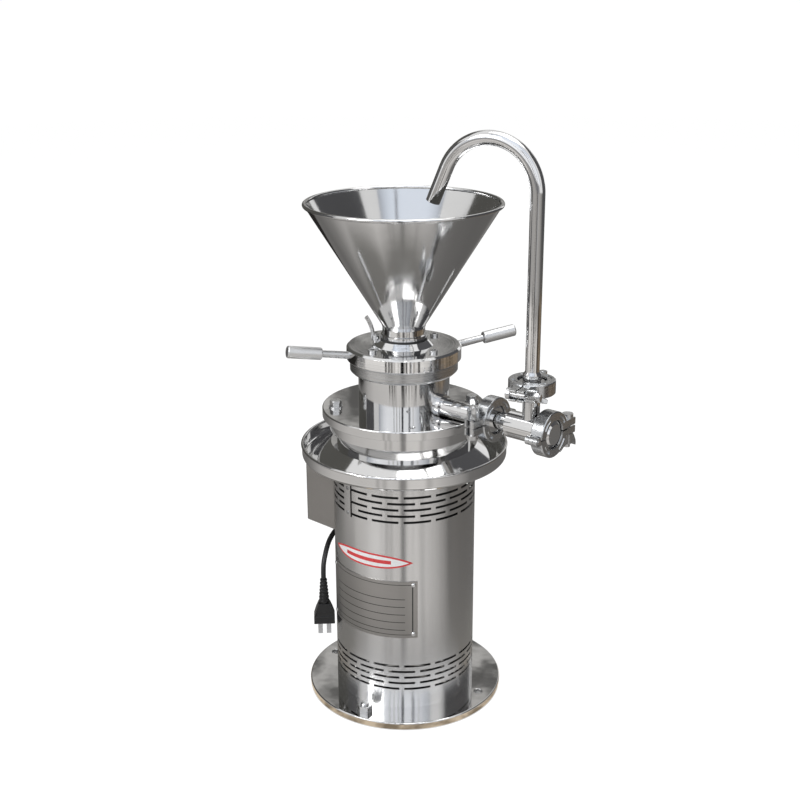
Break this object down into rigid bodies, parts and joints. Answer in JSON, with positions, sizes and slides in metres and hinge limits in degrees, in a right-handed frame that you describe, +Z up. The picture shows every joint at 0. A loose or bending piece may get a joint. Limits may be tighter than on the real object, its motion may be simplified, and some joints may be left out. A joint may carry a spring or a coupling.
{
  "type": "colloid mill",
  "caption": "Upright colloid mill on a round base: slotted motor shell, drip tray, adjusting dial with handles, conical hopper, clamped discharge line and hooked return pipe.",
  "frame": {"origin": "centre of the base plate's underside, midway between the two side mounting holes", "axes": "+Z up along the spindle, +X through the mounting hole nearest the discharge line, -Y to the earth stud at the front"},
  "size_m": [0.3536, 0.257, 0.7295],
  "materials": {
    "polished_steel": "mirror polished stainless steel",
    "brushed_steel": "fine brushed stainless steel",
    "fasteners": "turned bright steel",
    "cast_clamp": "cast steel, satin",
    "plate": "satin printed sheet, blank",
    "grip": "knurled, matte",
    "motor_iron": "as cast, dark",
    "windings": "varnished",
    "machined_steel": "machined",
    "fan": "moulded",
    "seal_face": "lapped",
    "seal_rubber": "moulded",
    "gasket": "moulded, white",
    "box_paint": "satin grey",
    "cord_rubber": "extruded, matte",
    "plug_plastic": "moulded",
    "pin_brass": "plated"
  },
  "bodies": {
    "stand": {"base_plate": "polished_steel", "drip_tray": "polished_steel", "top_shield": "polished_steel", "mill_flange": "polished_steel", "mill_body": "polished_steel", "discharge_pipe": "polished_steel", "tee": "polished_steel", "end_cap": "polished_steel", "motor_shell": "brushed_steel", "earth_stud": "fasteners", "earth_nut": "fasteners", "seam_rivets": "fasteners", "nameplate_rivets": "fasteners", "flange_bolts": "fasteners", "clamp_pins": "fasteners", "clamp_bolts": "fasteners", "box_screws": "fasteners", "clamp_upper_halves": "cast_clamp", "clamp_lower_halves": "cast_clamp", "nameplate": "plate", "motor_frame": "motor_iron", "stator_core": "motor_iron", "lower_shield": "motor_iron", "jack_screws": "motor_iron", "end_windings": "windings", "bearing_outer_rings": "machined_steel", "bearing_balls": "machined_steel", "capacitors": "fan", "seal_seat": "seal_face", "cord_gland": "seal_rubber", "gaskets": "gasket", "junction_box": "box_paint", "box_lid": "box_paint", "cord_lead": "cord_rubber", "cord_hank": "cord_rubber", "cord_tie": "cord_rubber", "cord_tail": "cord_rubber", "plug_body": "plug_plastic", "plug_pins": "pin_brass"},
    "spindle": {"main_shaft": "machined_steel", "rotor_core": "motor_iron", "bearing_inner_rings": "machined_steel", "cooling_fan": "fan", "seal_ring": "seal_face", "discharge_impeller": "machined_steel", "grinding_rotor": "machined_steel", "rotor_cap_nut": "fasteners"},
    "stator_lift": {"grinding_stator": "machined_steel"},
    "dial": {"adjusting_dial": "polished_steel", "dial_screws": "fasteners", "handle_rods": "brushed_steel", "handle_grips": "grip", "lock_stud": "brushed_steel", "hopper": "polished_steel", "hopper_seal": "seal_rubber"},
    "lever": {"lock_lever": "brushed_steel"},
    "return_line": {"return_pipe": "polished_steel"},
    "outlet_nut": {"outlet_wing_nut": "fasteners"},
    "return_nut": {"return_wing_nut": "fasteners"},
    "cap_nut": {"cap_wing_nut": "fasteners"}
  },
  "joints": [
    {"name": "spindle_spin", "type": "hinge", "parent": "stand", "child": "spindle", "pos_m": [0, 0, 0.2], "axis": [0, 0, 1], "continuous": true},
    {"name": "stator_slide", "type": "slide", "parent": "stand", "child": "stator_lift", "axis": [0, 0, 1], "range_m": [-0.0002, 0.0004]},
    {"name": "dial_turn", "type": "hinge", "parent": "stator_lift", "child": "dial", "pos_m": [0, 0, 0.45], "axis": [0, 0, 1], "range_deg": [-45, 90]},
    {"name": "lever_turn", "type": "hinge", "parent": "dial", "child": "lever", "pos_m": [-0.03319, -0.01111, 0.467], "axis": [0, 0, 1], "range_deg": [-40, 40]},
    {"name": "return_swing", "type": "hinge", "parent": "stand", "child": "return_line", "pos_m": [0.18423, -0.03748, 0.46], "axis": [0, 0, 1], "range_deg": [-90, 90]},
    {"name": "outlet_nut_turn", "type": "hinge", "parent": "stand", "child": "outlet_nut", "pos_m": [0.12373, -0.06395, 0.3965], "axis": [0, 0, 1], "continuous": true},
    {"name": "return_nut_turn", "type": "hinge", "parent": "stand", "child": "return_nut", "pos_m": [0.18423, -0.07548, 0.4485], "axis": [1, 0, 0], "continuous": true},
    {"name": "cap_nut_turn", "type": "hinge", "parent": "stand", "child": "cap_nut", "pos_m": [0.2163, -0.00523, 0.3965], "axis": [0, 0, -1], "continuous": true}
  ],
  "couplings": [
    {"joint": "stator_slide", "follows": "dial_turn", "m_per_rad": 0.00023873}
  ]
}
